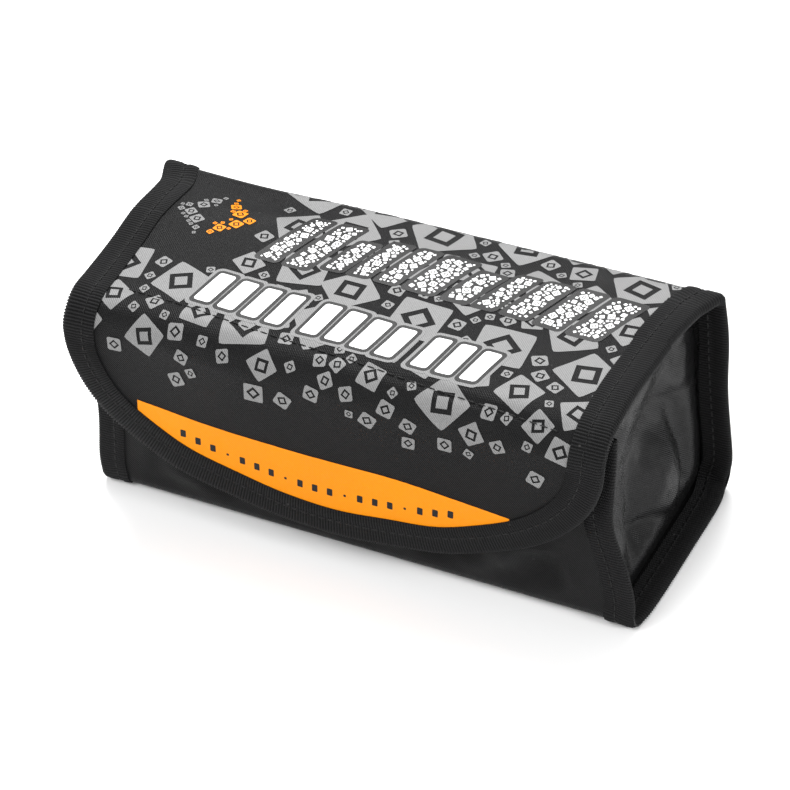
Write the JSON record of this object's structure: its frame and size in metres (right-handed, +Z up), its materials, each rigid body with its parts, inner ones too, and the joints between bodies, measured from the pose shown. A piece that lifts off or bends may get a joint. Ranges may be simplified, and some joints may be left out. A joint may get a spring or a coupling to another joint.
{
  "type": "lithium battery safe bag",
  "caption": "Box-shaped padded cloth bag with a hinged lid and a curved hook-and-loop flap, for charging and carrying lithium polymer battery packs.",
  "frame": {"origin": "centre of the closed bag's footprint, flap included, on the surface that it stands on", "axes": "+Z up, +X along the bag's length, -Y out of the front where the flap closes"},
  "size_m": [0.1862, 0.0822, 0.077],
  "materials": {
    "outer_cloth": "black coated twill with a soft sheen",
    "end_cloth": "thin black plain weave, creased",
    "felt_padding": "off-white needled felt",
    "fire_liner": "grey coated glass cloth",
    "edge_tape": "black ribbed grosgrain",
    "hook_and_loop": "black nylon pile",
    "thread": "black spun thread",
    "grey_ink": "grey screen print on cloth",
    "white_ink": "white screen print on cloth",
    "orange_ink": "orange screen print on cloth"
  },
  "bodies": {
    "bag_body": {"front_cloth": "outer_cloth", "bottom_cloth": "outer_cloth", "back_cloth": "outer_cloth", "left_end_cloth": "end_cloth", "right_end_cloth": "end_cloth", "front_padding": "felt_padding", "bottom_padding": "felt_padding", "back_padding": "felt_padding", "left_end_padding": "felt_padding", "right_end_padding": "felt_padding", "front_liner": "fire_liner", "bottom_liner": "fire_liner", "back_liner": "fire_liner", "left_end_liner": "fire_liner", "right_end_liner": "fire_liner", "left_edge_tape": "edge_tape", "right_edge_tape": "edge_tape", "left_edge_stitches": "thread", "right_edge_stitches": "thread", "front_mouth_tape": "edge_tape", "left_mouth_tape": "edge_tape", "right_mouth_tape": "edge_tape", "mouth_stitches": "thread", "loop_strip": "hook_and_loop", "loop_stitches": "thread"},
    "lid": {"lid_cloth": "outer_cloth", "lid_padding": "felt_padding", "lid_liner": "fire_liner", "lid_left_tape": "edge_tape", "lid_right_tape": "edge_tape", "lid_tape_stitches": "thread", "fold_stitches": "thread"},
    "flap": {"flap_cloth": "outer_cloth", "flap_padding": "felt_padding", "flap_liner": "fire_liner", "flap_tape": "edge_tape", "flap_tape_stitches": "thread", "hook_strip": "hook_and_loop", "hook_stitches": "thread"}
  },
  "joints": [
    {"name": "lid_hinge", "type": "hinge", "parent": "bag_body", "child": "lid", "pos_m": [0, 0.0401, 0.076], "axis": [-1, 0, 0], "range_deg": [0, 175]},
    {"name": "flap_fold", "type": "hinge", "parent": "lid", "child": "flap", "pos_m": [0, -0.0376, 0.0735], "axis": [-1, 0, 0], "range_deg": [0, 100]}
  ]
}
